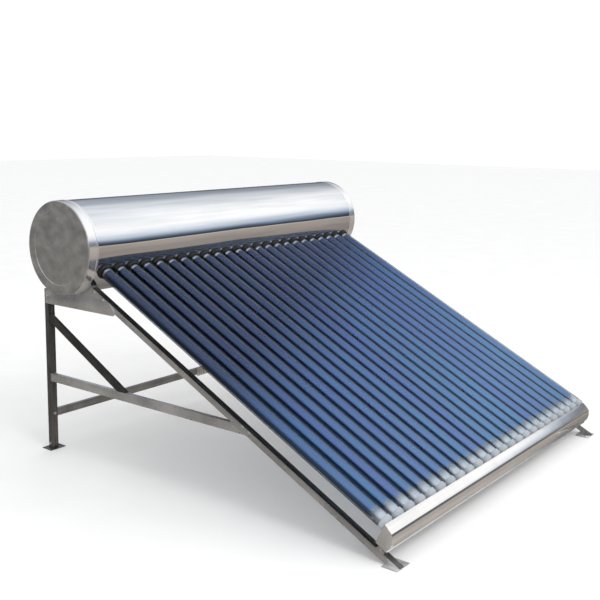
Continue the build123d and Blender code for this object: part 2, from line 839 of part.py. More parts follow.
def make_knee_brace(side):
    """Sloping angle bar from a rear leg down to the side tie, with a folded tab at each end."""
    outer = frame_half_width - sheet
    leg_top_edge = brace_leg_height + brace_half_height
    leg_low_edge = brace_leg_height - brace_half_height
    foot_spread = brace_half_height / brace_rise
    flange_drop = sheet / math.cos(brace_angle)
    with BuildPart() as knee_brace:
        with BuildSketch(slab_plane(side, outer, sheet)):
            with BuildLine():
                Polyline(
                    (leg_front, leg_low_edge),
                    (leg_front, leg_top_edge),
                    (brace_foot - foot_spread, brace_tie_face),
                    (brace_foot - foot_spread, tie_top_height),
                    (brace_foot + foot_spread, tie_top_height),
                    (brace_foot + foot_spread, brace_tie_face),
                    close=True,
                )
            make_face()
        extrude(amount=sheet)
        with BuildSketch(slab_plane(side, outer, brace_flange)):
            with BuildLine():
                Polyline(
                    (leg_front, leg_top_edge),
                    (brace_foot - foot_spread, brace_tie_face),
                    (brace_foot - foot_spread, brace_tie_face - sheet),
                    (leg_front, leg_top_edge - flange_drop),
                    close=True,
                )
            make_face()
        extrude(amount=brace_flange)
        with BuildSketch(slab_plane(side, outer, leg_flange - sheet)):
            with Locations((brace_leg_face, leg_low_edge)):
                Rectangle(sheet, 2 * brace_half_height, align=Align.MIN)
        extrude(amount=leg_flange - sheet)
        with BuildSketch(slab_plane(side, outer, tie_flange)):
            with Locations((brace_foot - foot_spread, tie_top_height)):
                Rectangle(2 * foot_spread, sheet, align=Align.MIN)
        extrude(amount=tie_flange)
        with BuildSketch(leg_front_bolts(side)[1], brace_tie_bolt(side)):
            Circle(bolt_hole_radius)
        extrude(amount=-drill_reach, mode=Mode.SUBTRACT)
    return knee_brace.part


def make_cross_bar(start, end, side):
    """Level angle bar behind the rear legs' front flanges; two of them meet at the splice."""
    face = leg_front + sheet
    bar_plane = side_plane(start)
    with BuildPart() as cross_bar:
        with BuildSketch(bar_plane):
            with Locations((face, bar_height)):
                Rectangle(sheet, bar_web, align=Align.MIN)
        extrude(amount=end - start)
        with BuildSketch(bar_plane):
            with Locations((face, bar_height + bar_web - sheet)):
                Rectangle(bar_flange, sheet, align=Align.MIN)
        extrude(amount=end - start)
        with BuildSketch(leg_bar_bolt(side), *splice_bolts()):
            Circle(bolt_hole_radius)
        extrude(amount=-drill_reach, mode=Mode.SUBTRACT)
    return cross_bar.part


def make_splice():
    """Plate over the joint of the two cross bars."""
    with BuildPart() as cross_bar_splice:
        with BuildSketch(side_plane(splice_start)):
            with Locations((leg_front, bar_middle - splice_web / 2)):
                Rectangle(sheet, splice_web, align=Align.MIN)
        extrude(amount=splice_length)
        with BuildSketch(*splice_bolts()):
            Circle(bolt_hole_radius)
        extrude(amount=-drill_reach, mode=Mode.SUBTRACT)
    return cross_bar_splice.part


def make_front_cross_tie():
    """Channel lying across both front rails, under the tail rail."""
    front = tail_back + cross_tie_front
    back = front - cross_tie_depth
    with BuildPart() as front_cross_tie:
        with BuildSketch(slope_side_plane(frame_half_width)):
            with BuildLine():
                Polyline(
                    (back, cross_tie_top),
                    (front, cross_tie_top),
                    (front, rail_top),
                    (back, rail_top),
                    (back, rail_top + sheet),
                    (front - sheet, rail_top + sheet),
                    (front - sheet, cross_tie_top - sheet),
                    (back, cross_tie_top - sheet),
                    close=True,
                )
            make_face()
        extrude(amount=2 * frame_half_width)
        with BuildSketch(*[cross_tie_rail_bolt(side) for side in sides.values()], *tail_bolts()):
            Circle(bolt_hole_radius)
        extrude(amount=-bolt_head, mode=Mode.SUBTRACT)
    return front_cross_tie.part


def tail_outline(x):
    """Outside of the tail rail's section, standing on a side plane."""
    crease = (tail_back + tail_crease_out, tail_top - tail_crease_drop)
    bulge = (tail_back + tail_bulge_out, tail_top - tail_bulge_drop)
    bottom = tail_top - tail_depth
    lip = (tail_back + tail_lip_out, bottom + tail_hem)
    with BuildSketch(slope_side_plane(x)) as outline:
        with BuildLine():
            Line((tail_back, tail_top), crease)
            ThreePointArc(crease, bulge, lip)
            Polyline(
                lip,
                (lip[0] + tail_hem_out, lip[1]),
                (lip[0] + tail_hem_out, bottom),
                (tail_back, bottom),
                (tail_back, tail_top),
            )
        make_face()
    return outline


def make_tail_rail():
    """Folded rail that holds the tubes' lower ends, with a hole for each cup's stem."""
    half_length = tail_half_length - tail_sheet
    with BuildPart() as tail_rail:
        extrude(tail_outline(half_length).sketch, amount=2 * half_length)
        ends = tail_rail.faces().filter_by(Axis.X)
        offset(amount=-tail_sheet, openings=ends, kind=Kind.INTERSECTION)
        with BuildSketch(*[tube_cross_plane(x, tail_back) for x in tube_stations]):
            Circle(cup_stem_radius)
        extrude(amount=2 * tail_sheet, both=True, mode=Mode.SUBTRACT)
        with BuildSketch(*tail_bolts()):
            Circle(bolt_hole_radius)
        extrude(amount=-bolt_head, mode=Mode.SUBTRACT)
    return tail_rail.part


def make_tail_end_cap(side):
    """Flat sheet closing one end of the tail rail."""
    start = tail_half_length if side > 0 else tail_sheet - tail_half_length
    with BuildPart() as tail_end_cap:
        extrude(tail_outline(start).sketch, amount=tail_sheet)
    return tail_end_cap.part


def make_foot_pad(side, place):
    """Floor plate with an anchor hole and an upright tab bolted inside the leg or rail."""
    centre_y = pad_y[place]
    outer = frame_half_width - sheet
    bolt_y, bolt_z = (leg_front + leg_depth / 2, foot_bolt_height) if place == "rear" else rail_foot_bolt
    half_tab = leg_depth / 2 - sheet - pad_tab_gap if place == "rear" else pad_front_tab / 2
    fall = 0 if place == "rear" else half_tab * slope_rise_per_run
    top = pad_tab if place == "rear" else bolt_z + bolt_head_radius + pad_tab_gap
    with BuildPart() as foot_pad:
        with BuildSketch(Plane.XY):
            with Locations((side * (frame_half_width - pad_inset), centre_y)):
                Rectangle(pad_width, pad_depth)
            with Locations((side * (frame_half_width - anchor_inset), centre_y)):
                Circle(anchor_radius, mode=Mode.SUBTRACT)
        extrude(amount=pad_sheet)
        with BuildSketch(slab_plane(side, outer, pad_tab_sheet)):
            with BuildLine():
                Polyline(
                    (bolt_y - half_tab, 0),
                    (bolt_y + half_tab, 0),
                    (bolt_y + half_tab, top + fall),
                    (bolt_y - half_tab, top - fall),
                    close=True,
                )
            make_face()
        extrude(amount=pad_tab_sheet)
        with BuildSketch(foot_bolt(side, place)):
            Circle(bolt_hole_radius)
        extrude(amount=-drill_reach, mode=Mode.SUBTRACT)
    return foot_pad.part


def make_frame_bolts():
    """Every bolt with its nut, and the screws that hold the tank to the saddles."""
    two_sheets = 2 * sheet
    bolts = [(plane, two_sheets) for plane in splice_bolts()]
    bolts += [(plane, sheet + tail_sheet) for plane in tail_bolts()]
    for side in sides.values():
        saddle_bolts = (saddle_leg_bolt(side), *saddle_rail_bolts(side))
        bolts += [(plane, saddle_sheet + sheet) for plane in saddle_bolts]
        bolts += [(plane, two_sheets) for plane in (*rail_tie_bolts(side), *leg_front_bolts(side))]
        bolts += [(plane, two_sheets) for plane in (leg_bar_bolt(side), brace_tie_bolt(side))]
        bolts.append((cross_tie_rail_bolt(side), two_sheets))
        bolts += [(foot_bolt(side, place), sheet + pad_tab_sheet) for place in pad_y]
    with BuildPart() as frame_bolts:
        for plane, grip in bolts:
            with BuildSketch(plane):
                RegularPolygon(radius=bolt_head_radius, side_count=6)
            extrude(amount=bolt_head)
            with BuildSketch(plane):
                Circle(bolt_radius)
            extrude(amount=-grip - bolt_nut - bolt_end)
            with BuildSketch(plane.offset(-grip)):
                RegularPolygon(radius=bolt_head_radius, side_count=6)
            extrude(amount=-bolt_nut)
        for plane in tank_screws():
            with BuildSketch(plane):
                Circle(screw_radius)
            extrude(amount=-screw_length)
            with BuildSketch(plane):
                RegularPolygon(radius=2 * screw_radius, side_count=6)
            extrude(amount=bolt_head)
    return frame_bolts.part


# ---- build and write every piece ----
os.makedirs("parts", exist_ok=True)
for number, station in enumerate(tube_stations, start=1):
    save(make_evacuated_tube(station), f"evacuated_tube_{number:02d}")
save(make_tube_seals(), "tube_seals")
save(make_dust_rings(), "dust_rings")
save(make_tube_cups(), "tube_cups")
save(make_outer_shell(), "tank_outer_shell")
save(make_foam(), "foam_insulation")
save(make_inner_barrel(), "inner_tank_barrel")
save(make_port_grommets(), "port_grommets")
for node, (station, turn) in port_places.items():
    save(make_port_pipe(station, turn), node)

bar_end = frame_half_width - sheet
splice_middle = splice_start + splice_length / 2
save(make_cross_bar(-bar_end, splice_middle, -1), "rear_cross_bar_left")
save(make_cross_bar(splice_middle, bar_end, 1), "rear_cross_bar_right")
save(make_splice(), "cross_bar_splice")
save(make_front_cross_tie(), "front_cross_tie")
save(make_tail_rail(), "tail_rail")
save(make_frame_bolts(), "frame_bolts")

side_makers = {
    "end_cap": make_end_cap,
    "inner_head": make_inner_head,
    "tank_saddle": make_tank_saddle,
    "front_rail": make_front_rail,
    "rear_leg": make_rear_leg,
    "side_tie": make_side_tie,
    "knee_brace": make_knee_brace,
    "tail_end_cap": make_tail_end_cap,
}
for side_name, side in sides.items():
    for node, make in side_makers.items():
        save(make(side), f"{node}_{side_name}")
    for place in pad_y:
        save(make_foot_pad(side, place), f"foot_pad_{place}_{side_name}")
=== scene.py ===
# %% [markdown]
# # A solar water heater, dressed for the studio
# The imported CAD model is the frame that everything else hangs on. Loading it first gives each node's
# box, each body's name and the record, so that no place in this lesson has to be guessed.

# %% Load the frame
import json
import math

import bpy
from mathutils import Matrix, Vector


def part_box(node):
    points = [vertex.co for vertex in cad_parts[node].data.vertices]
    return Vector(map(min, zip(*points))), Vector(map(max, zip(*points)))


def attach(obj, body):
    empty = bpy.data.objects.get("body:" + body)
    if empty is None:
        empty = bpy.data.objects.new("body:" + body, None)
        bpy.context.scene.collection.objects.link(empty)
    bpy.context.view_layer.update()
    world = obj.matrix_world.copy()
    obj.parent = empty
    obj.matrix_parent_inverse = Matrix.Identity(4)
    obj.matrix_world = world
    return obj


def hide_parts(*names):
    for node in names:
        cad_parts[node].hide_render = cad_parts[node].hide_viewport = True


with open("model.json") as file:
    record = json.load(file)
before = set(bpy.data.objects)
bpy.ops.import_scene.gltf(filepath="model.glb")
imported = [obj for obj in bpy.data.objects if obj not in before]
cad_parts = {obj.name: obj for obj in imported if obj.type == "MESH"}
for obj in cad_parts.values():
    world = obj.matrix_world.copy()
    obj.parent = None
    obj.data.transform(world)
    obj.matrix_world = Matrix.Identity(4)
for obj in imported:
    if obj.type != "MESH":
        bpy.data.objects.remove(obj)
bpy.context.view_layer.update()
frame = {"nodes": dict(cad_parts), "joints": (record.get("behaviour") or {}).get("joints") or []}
nodes = frame["nodes"]

# %% [markdown]
# ## Reading the heater's own directions
# Every tube slides along the slope, so the slide joint's axis is the slope itself. The tank's box
# gives its axis and radius, and one tube's box gives its radius, its open end and its dome.
# Taking these from the frame keeps the lesson right if the CAD model changes.

# %% Directions and driving places
up_slope = Vector(frame["joints"][0]["axis"]).normalized()
down_slope = -up_slope
off_slope = Vector((1, 0, 0)).cross(up_slope)
slope_cos, slope_sin = up_slope.y, up_slope.z
tubes = sorted(name for name in nodes if name.startswith("evacuated_tube_"))

shell_low, shell_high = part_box("tank_outer_shell")
tank_axis = (shell_low + shell_high) / 2
tank_radius = (shell_high.z - shell_low.z) / 2

tube_low, tube_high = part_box(tubes[0])
tube_radius = (tube_high.x - tube_low.x) / 2
open_end = Vector((0, tube_high.y - tube_radius * slope_sin, tube_high.z - tube_radius * slope_cos))
dome_centre_z = tube_low.z + tube_radius
dome_run = (open_end.z - dome_centre_z) / slope_sin
print("tubes", len(tubes), "radius", round(tube_radius, 4), "open end to dome", round(dome_run, 4))

# %% [markdown]
# ## Camera
# A product shot of a long object is taken from a corner, a little above it, with a normal lens a few
# metres away. The small shift puts the object where a cropped print would have it.

# %% Camera
CAMERA_PLACE = Vector((-3.5381, -2.6199, 1.5532))
AZIMUTH = math.radians(-53.0522)
ELEVATION = math.radians(7.8046)
ROLL = math.radians(0.6113)
LENS_MM = 55.243
SENSOR_MM = 36
SHIFT_X = -0.03697
SHIFT_Y = -0.0814

level = Vector((math.cos(AZIMUTH), math.sin(AZIMUTH), 0))
toward_camera = Vector((math.sin(AZIMUTH), -math.cos(AZIMUTH), 0))
back = math.cos(ELEVATION) * toward_camera + math.sin(ELEVATION) * Vector((0, 0, 1))
rise = back.cross(level)
right = math.cos(ROLL) * level + math.sin(ROLL) * rise
up = -math.sin(ROLL) * level + math.cos(ROLL) * rise

camera_data = bpy.data.cameras.new("studio_camera")
camera_data.lens = LENS_MM
camera_data.sensor_width = SENSOR_MM
camera_data.shift_x = SHIFT_X
camera_data.shift_y = SHIFT_Y
camera = bpy.data.objects.new("studio_camera", camera_data)
bpy.context.scene.collection.objects.link(camera)
turn = Matrix((right, up, back)).transposed().to_4x4()
camera.matrix_world = Matrix.Translation(CAMERA_PLACE) @ turn
bpy.context.scene.camera = camera
print("camera at", tuple(round(value, 3) for value in CAMERA_PLACE))

# %% [markdown]
# ## Helpers for materials
# A node material is a small graph. These helpers keep each one short: `new_material` starts a
# Principled shader, `place_noise` makes a pattern that sits on the object in metres, `ramp` turns a
# pattern into colours and `spread` into numbers. The surroundings are a graph too and use them.


# %% Material helpers
def new_material(name, **sockets):
    material = bpy.data.materials.new(name)
    material.use_nodes = True
    shader = material.node_tree.nodes["Principled BSDF"]
    for socket, value in sockets.items():
        shader.inputs[socket.replace("_", " ").title()].default_value = value
    return material, shader


def node(material, kind, **settings):
    made = material.node_tree.nodes.new(kind)
    for key, value in settings.items():
        setattr(made, key, value)
    return made


def link(material, source, target):
    material.node_tree.links.new(source, target)


def feed(material, socket, value):
    """Gives a socket a plain value, or a link when the value is another node's output."""
    if isinstance(value, bpy.types.NodeSocket):
        link(material, value, socket)
    else:
        socket.default_value = value


def calculate(material, operation, *values):
    made = node(material, "ShaderNodeMath", operation=operation)
    for socket, value in zip(made.inputs, values):
        feed(material, socket, value)
    return made.outputs["Value"]


def mix(material, share, first, second, data_type="RGBA", blend_type="MIX"):
    """Mixes two colours, or two numbers when the data type is FLOAT."""
    made = node(material, "ShaderNodeMix", data_type=data_type, blend_type=blend_type)
    for name, value in (("Factor", share), ("A", first), ("B", second)):
        feed(material, made.inputs[name], value)
    return made.outputs["Result"]


def place_noise(material, stretch, scale, detail=4.0, turn_x=0.0):
    """Noise that sits on the object, stretched by a scale along each axis."""
    place = node(material, "ShaderNodeTexCoord")
    mapping = node(material, "ShaderNodeMapping")
    mapping.inputs["Scale"].default_value = stretch
    mapping.inputs["Rotation"].default_value = (turn_x, 0, 0)
    noise = node(material, "ShaderNodeTexNoise")
    noise.inputs["Scale"].default_value = scale
    noise.inputs["Detail"].default_value = detail
    link(material, place.outputs["Object"], mapping.inputs["Vector"])
    link(material, mapping.outputs["Vector"], noise.inputs["Vector"])
    return noise.outputs["Fac"]


def ramp(material, source, stops):
    """Colour ramp through (position, colour) stops."""
    made = node(material, "ShaderNodeValToRGB")
    elements = made.color_ramp.elements
    while len(elements) < len(stops):
        elements.new(0.5)
    for element, (position, colour) in zip(elements, stops):
        element.position = position
        element.color = (*colour, 1)
    link(material, source, made.inputs["Fac"])
    return made.outputs["Color"]


def spread(material, source, start, end, low=0.0, high=1.0):
    """Makes the stretch from start to end run from low to high, and stay there beyond its ends."""
    made = node(material, "ShaderNodeMapRange")
    made.inputs["From Min"].default_value = start
    made.inputs["From Max"].default_value = end
    made.inputs["To Min"].default_value = low
    made.inputs["To Max"].default_value = high
    link(material, source, made.inputs["Value"])
    return made.outputs["Result"]


def span(material, noise, low, high):
    """Noise lies mostly between 0.3 and 0.7, so that stretch is made to run from low to high."""
    return spread(material, noise, 0.3, 0.7, low, high)


def bump(material, shader, source, distance, strength=1.0):
    made = node(material, "ShaderNodeBump")
    made.inputs["Distance"].default_value = distance
    made.inputs["Strength"].default_value = strength
    link(material, source, made.inputs["Height"])
    link(material, made.outputs["Normal"], shader.inputs["Normal"])


def show_through(material, shader, share, tint=None):
    """Leaves only a share of a finish and lets the rest be seen through, with a tint if there is one."""
    clear = node(material, "ShaderNodeBsdfTransparent")
    if tint:
        link(material, tint, clear.inputs["Color"])
    both = node(material, "ShaderNodeMixShader")
    link(material, share, both.inputs["Fac"])
    link(material, clear.outputs["BSDF"], both.inputs[1])
    link(material, shader.outputs["BSDF"], both.inputs[2])
    surface = material.node_tree.nodes["Material Output"].inputs["Surface"]
    link(material, both.outputs["Shader"], surface)


def place_on_slope(material):
    """The place on the object as X, along the slope (Y, upwards) and off the slope (Z)."""
    place = node(material, "ShaderNodeTexCoord")
    turn_to_slope = node(material, "ShaderNodeMapping")
    turn_to_slope.inputs["Rotation"].default_value = (-math.atan2(slope_sin, slope_cos), 0, 0)
    parts = node(material, "ShaderNodeSeparateXYZ")
    link(material, place.outputs["Object"], turn_to_slope.inputs["Vector"])
    link(material, turn_to_slope.outputs["Vector"], parts.inputs["Vector"])
    return parts.outputs


def dress(material, *names):
    """Gives CAD nodes a finished material in place of their plain one."""
    for name in names:
        slots = nodes[name].material_slots
        if not slots:
            nodes[name].data.materials.append(material)
        for slot in slots:
            slot.material = material
    print(material.name, "on", len(names), "nodes")


# %% [markdown]
# ## Polished tank shell
# The shell is thin stainless sheet with a mirror finish, rolled round the foam. Sheet that thin is
# never quite flat, so a long, shallow wave in the bump makes the reflections swim a little, and
# fine lines along the sheet's rolling direction break up the highlight.

# %% Polished shell
polished, shader = new_material("polished_tank_sheet", metallic=1.0)
streaks = place_noise(polished, (1.2, 22, 22), 1.0)
tone = ramp(polished, streaks, [(0.3, (0.66, 0.69, 0.73)), (0.6, (0.93, 0.94, 0.95))])
link(polished, tone, shader.inputs["Base Color"])
lines = place_noise(polished, (3, 160, 160), 1.0, 2.0)
link(polished, span(polished, lines, 0.03, 0.07), shader.inputs["Roughness"])
bump(polished, shader, place_noise(polished, (1.6, 9, 9), 1.0, 1.0), 0.004, 0.75)
dress(polished, "tank_outer_shell")


# %% [markdown]
# ## Satin end caps
# The caps are pressed from duller sheet and handled a lot, so they are grey and cloudy. One broad
# noise clouds the colour and a second, finer one scuffs the roughness. The lip that grips the shell
# is drawn over a die and comes out brighter, so it takes a finish of its own.

# %% Satin caps
LIP_EDGE = 0.003
satin, shader = new_material("satin_cap_sheet", metallic=0.9)
clouds = place_noise(satin, (1, 16, 22), 1.0, 12.0, turn_x=0.5)
tone = ramp(satin, clouds, [(0.3, (0.45, 0.45, 0.44)), (0.5, (0.59, 0.59, 0.58)), (0.7, (0.74, 0.74, 0.725))])
scratches = place_noise(satin, (1, 90, 12), 1.0, 3.0, turn_x=0.6)
out_from_middle = calculate(satin, "ABSOLUTE", place_on_slope(satin)["X"])
on_lip = spread(satin, out_from_middle, shell_high.x + LIP_EDGE, shell_high.x)
lip_tone = mix(satin, on_lip, tone, (0.93, 0.93, 0.92, 1))
lip_roughness = mix(satin, on_lip, span(satin, scratches, 0.3, 0.48), 0.16, data_type="FLOAT")
link(satin, lip_tone, shader.inputs["Base Color"])
link(satin, lip_roughness, shader.inputs["Roughness"])
bump(satin, shader, place_noise(satin, (1, 8, 8), 1.0, 3.0), 0.006, 0.35)
dress(satin, "end_cap_left", "end_cap_right")


# %% [markdown]
# ## Folded frame sheet
# Legs, rails, ties and pads are folded from plain stainless. It is dull enough to show only a blurred
# reflection. It is all one sheet, but each kind of piece gets its own grey as painted light and shade: the
# legs, the rear pads and the bars across the back are painted dark, and the knee braces darker still,
# where they stand in shade. The front pads are painted near white, where they stand in the light. The tail
# rail, the tie below it and the bars across the back run along X, and so does their grain; everywhere
# else it runs across X.

# %% Frame steel
ACROSS_X = (120, 9, 9)
ALONG_X = (2, 70, 70)
# Painted shade for the rail faces that lie under the tubes.
UNDER_TUBE_SHADE = (0.035, 0.034, 0.032, 1)
FOLD_SHADES = [
    (0.56, (1.0, 1.0, 1.0)),
    (0.64, (0.3, 0.3, 0.3)),
    (0.745, (0.2, 0.2, 0.2)),
    (0.82, (1.0, 1.0, 1.0)),
]


def frame_sheet(name, low, middle, high, roughness, grain=ACROSS_X):
    made, made_shader = new_material(name, metallic=0.85)
    blotches = place_noise(made, (9, 3, 3), 1.3, 3.0)
    streaks = place_noise(made, grain, 1.0, 5.0)
    mixed = mix(made, 0.45, blotches, streaks, data_type="FLOAT")
    tone = ramp(made, mixed, [(0.36, low), (0.5, middle), (0.64, high)])
    link(made, tone, made_shader.inputs["Base Color"])
    link(made, span(made, streaks, *roughness), made_shader.inputs["Roughness"])
    bump(made, made_shader, blotches, 0.002, 0.25)
    return made


def lean_off_slope(made):
    """How squarely a face looks off the slope: 1 is straight off it."""
    surface = node(made, "ShaderNodeNewGeometry")
    lean = node(made, "ShaderNodeVectorMath", operation="DOT_PRODUCT")
    lean.inputs[1].default_value = off_slope
    link(made, surface.outputs["Normal"], lean.inputs[0])
    return lean.outputs["Value"]


def shade_under_tubes(made):
    """Paints shade on the faces that look up off the slope, where the tubes above shade them."""
    colour = made.node_tree.nodes["Principled BSDF"].inputs["Base Color"]
    share = spread(made, lean_off_slope(made), 0.7, 0.95, 0.0, 0.85)
    link(made, mix(made, share, colour.links[0].from_socket, UNDER_TUBE_SHADE), colour)
    return made


def shaded_fold(made):
    """Darkens the first turn of the tail rail's bulge, just under its crease."""
    colour = made.node_tree.nodes["Principled BSDF"].inputs["Base Color"]
    shade = ramp(made, lean_off_slope(made), FOLD_SHADES)
    link(made, mix(made, 1.0, colour.links[0].from_socket, shade, blend_type="MULTIPLY"), colour)
    return made


# Painted shade: the leg, bar and brace greys are painted dark for the pieces that stand in shade.
leg_shade_tones = [(0.11, 0.109, 0.108), (0.155, 0.154, 0.152), (0.21, 0.209, 0.206)]
bar_shade_tones = [(0.24, 0.239, 0.236), (0.33, 0.328, 0.324), (0.44, 0.438, 0.43)]
plate_tones = [(0.52, 0.518, 0.51), (0.68, 0.677, 0.665), (0.84, 0.837, 0.825)]
rail_tones = [(0.48, 0.477, 0.47), (0.64, 0.637, 0.627), (0.80, 0.795, 0.785)]
brace_shade_tones = [(0.07, 0.069, 0.066), (0.10, 0.098, 0.094), (0.14, 0.138, 0.132)]
tail_tones = [(0.84, 0.835, 0.825), (0.90, 0.89, 0.875), (0.95, 0.945, 0.94)]
zinc_tones = [(0.5, 0.5, 0.5), (0.62, 0.62, 0.63), (0.72, 0.72, 0.73)]
leg_shade_steel = frame_sheet("leg_sheet", *leg_shade_tones, (0.26, 0.38))
bar_shade_steel = frame_sheet("bar_sheet", *bar_shade_tones, (0.28, 0.4), ALONG_X)
plate_steel = frame_sheet("plate_sheet", *plate_tones, (0.22, 0.34))
# Painted light: the front pads take the tail's near-white grey.
pad_lit_steel = frame_sheet("pad_sheet", *tail_tones, (0.3, 0.45))
# The rails' faces under the tubes get painted shade.
rail_steel = shade_under_tubes(frame_sheet("rail_sheet", *rail_tones, (0.22, 0.34)))
brace_shade_steel = frame_sheet("brace_sheet", *brace_shade_tones, (0.4, 0.55))
tail_steel = shaded_fold(frame_sheet("tail_sheet", *tail_tones, (0.09, 0.15), ALONG_X))
bolt_steel = frame_sheet("bolt_zinc", *zinc_tones, (0.25, 0.35))

for side in ("left", "right"):
    dress(leg_shade_steel, f"rear_leg_{side}", f"foot_pad_rear_{side}")
    dress(bar_shade_steel, f"rear_cross_bar_{side}")
    dress(plate_steel, f"tank_saddle_{side}", f"side_tie_{side}")
    dress(pad_lit_steel, f"foot_pad_front_{side}")
    dress(rail_steel, f"front_rail_{side}")
    dress(brace_shade_steel, f"knee_brace_{side}")
    dress(tail_steel, f"tail_end_cap_{side}")
dress(plate_steel, "cross_bar_splice")
dress(tail_steel, "tail_rail", "front_cross_tie")
dress(bolt_steel, "frame_bolts", "cold_inlet_pipe", "hot_outlet_pipe", "vent_pipe")


# %% [markdown]
# ## Rubber, plastic, foam and the hidden steel
# The collars are weathered black rubber, which greys unevenly. The cups are pale plastic. The foam,
# the seals and the inner tank are inside, but they are finished too, for anyone who opens it up.

# %% Rubber and plastic
def soft_finish(name, low, high, roughness, grain_scale):
    made, made_shader = new_material(name)
    grain = place_noise(made, (1, 1, 1), grain_scale, 5.0)
    link(made, ramp(made, grain, [(0.3, low), (0.7, high)]), made_shader.inputs["Base Color"])
    link(made, span(made, grain, *roughness), made_shader.inputs["Roughness"])
    bump(made, made_shader, grain, 0.0006, 0.3)
    return made


rubber = soft_finish("black_rubber", (0.004, 0.004, 0.004), (0.014, 0.014, 0.013), (0.14, 0.26), 90.0)
silicone = soft_finish("white_silicone", (0.7, 0.7, 0.68), (0.82, 0.82, 0.8), (0.4, 0.5), 60.0)
cup_plastic = soft_finish("cup_plastic", (0.32, 0.35, 0.39), (0.40, 0.43, 0.47), (0.2, 0.3), 20.0)
foam = soft_finish("rigid_foam", (0.72, 0.62, 0.36), (0.86, 0.78, 0.5), (0.8, 0.95), 140.0)
inner_tones = [(0.6, 0.6, 0.6), (0.68, 0.68, 0.68), (0.74, 0.74, 0.74)]
inner_steel = frame_sheet("inner_tank_sheet", *inner_tones, (0.25, 0.35))
dress(rubber, "port_grommets")
dress(silicone, "tube_seals")
dress(cup_plastic, "tube_cups")
dress(foam, "foam_insulation")
dress(inner_steel, "inner_tank_barrel", "inner_head_left", "inner_head_right")


# %% [markdown]
# ## A helper for turned pieces
# Tubes, collars and domes are all round about one line. One way is to spin a profile, but a stack of
# rings is easier to read: a circle is added, then extruded and resized ring by ring, as it would be
# by hand. A first or last ring of almost no radius, a pole, is merged to a point.


# %% Turned pieces
POLE = 0.00001
SAME_POINT = 0.00002
SMOOTH_BELOW = math.radians(40)


def deselect():
    if bpy.context.object and bpy.context.object.mode != "OBJECT":
        bpy.ops.object.mode_set(mode="OBJECT")
    bpy.ops.object.select_all(action="DESELECT")


def pick(*pieces):
    """Selects just these pieces and makes the first of them active."""
    deselect()
    for piece in pieces:
        piece.select_set(True)
    bpy.context.view_layer.objects.active = pieces[0]


def join(*pieces):
    pick(*pieces)
    bpy.ops.object.join()
    return pieces[0]


def turned(name, rings, segments):
    """A shape turned about Z through rings of (height, radius)."""
    deselect()
    height, radius = rings[0]
    bpy.ops.mesh.primitive_circle_add(vertices=segments, radius=radius, location=(0, 0, height))
    piece = bpy.context.object
    piece.name = name
    bpy.ops.object.mode_set(mode="EDIT")
    bpy.ops.mesh.select_all(action="SELECT")
    for next_height, next_radius in rings[1:]:
        bpy.ops.mesh.extrude_region_move(TRANSFORM_OT_translate={"value": (0, 0, next_height - height)})
        grow = next_radius / radius
        bpy.ops.transform.resize(value=(grow, grow, 1), center_override=(0, 0, next_height))
        height, radius = next_height, next_radius
    bpy.ops.mesh.select_all(action="SELECT")
    bpy.ops.mesh.remove_doubles(threshold=SAME_POINT)
    bpy.ops.mesh.normals_make_consistent(inside=False)
    bpy.ops.object.mode_set(mode="OBJECT")
    return piece


def lay_on_slope(piece, x):
    """Turns a piece that was made up Z to run down the slope from the tank's axis, then applies it."""
    pick(piece)
    turn = Matrix(((1, 0, 0), off_slope, down_slope)).transposed().to_4x4()
    piece.matrix_world = Matrix.Translation((x, tank_axis.y, tank_axis.z)) @ turn @ piece.matrix_world
    bpy.ops.object.transform_apply(location=True, rotation=True, scale=True)
    bpy.ops.object.shade_smooth_by_angle(angle=SMOOTH_BELOW)
    return piece


def copy_along(piece, name, shift):
    twin = piece.copy()
    twin.data = piece.data.copy()
    twin.name = name
    twin.data.name = name
    twin.data.transform(Matrix.Translation(shift))
    bpy.context.scene.collection.objects.link(twin)
    return twin


def quarter(centre, radius, start, end, steps):
    """Rings along an arc about a point on the axis; angles are measured from square to the axis."""
    turns = [math.radians(start + (end - start) * i / steps) for i in range(steps + 1)]
    return [(centre + radius * math.sin(angle), max(radius * math.cos(angle), POLE)) for angle in turns]


open_along = (open_end - Vector((0, tank_axis.y, tank_axis.z))).dot(down_slope)
dome_along = open_along + dome_run
station = {name: (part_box(name)[0].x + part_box(name)[1].x) / 2 for name in tubes}
print("open end", round(open_along, 4), "dome", round(dome_along, 4), "down the slope from the tank's axis")

# %% [markdown]
# ## Evacuated tubes: the clear outer wall
# The outer wall is clear borosilicate, closed by a dome with a small sealed nipple at the foot. It is
# modelled with its real thickness: an outside skin and an inside skin a wall apart, joined at the
# mouth. A wall this thin hardly bends light, so each skin is clear where it is faced squarely and
# reflects more and more towards the tube's edges, where light also has the longest way through.
# The straight run needs only one ring between its ends, MIDDLE_RING above the start of the dome.

# %% Clear glass
glass, shader = new_material("borosilicate", metallic=1.0, base_color=(0.93, 0.96, 1.0, 1))
dust = place_noise(glass, (1, 1, 1), 14.0, 6.0)
link(glass, span(glass, dust, 0.03, 0.09), shader.inputs["Roughness"])
facing = node(glass, "ShaderNodeLayerWeight").outputs["Facing"]
long_way = [
    (0.0, (0.99, 1.0, 1.0)),
    (0.45, (0.93, 0.95, 0.96)),
    (0.8, (0.55, 0.6, 0.62)),
    (1.0, (0.2, 0.23, 0.25)),
]
steep = calculate(glass, "POWER", facing, 5.0)
gloss = calculate(glass, "MULTIPLY_ADD", steep, 0.55, 0.022)
show_through(glass, shader, gloss, ramp(glass, facing, long_way))

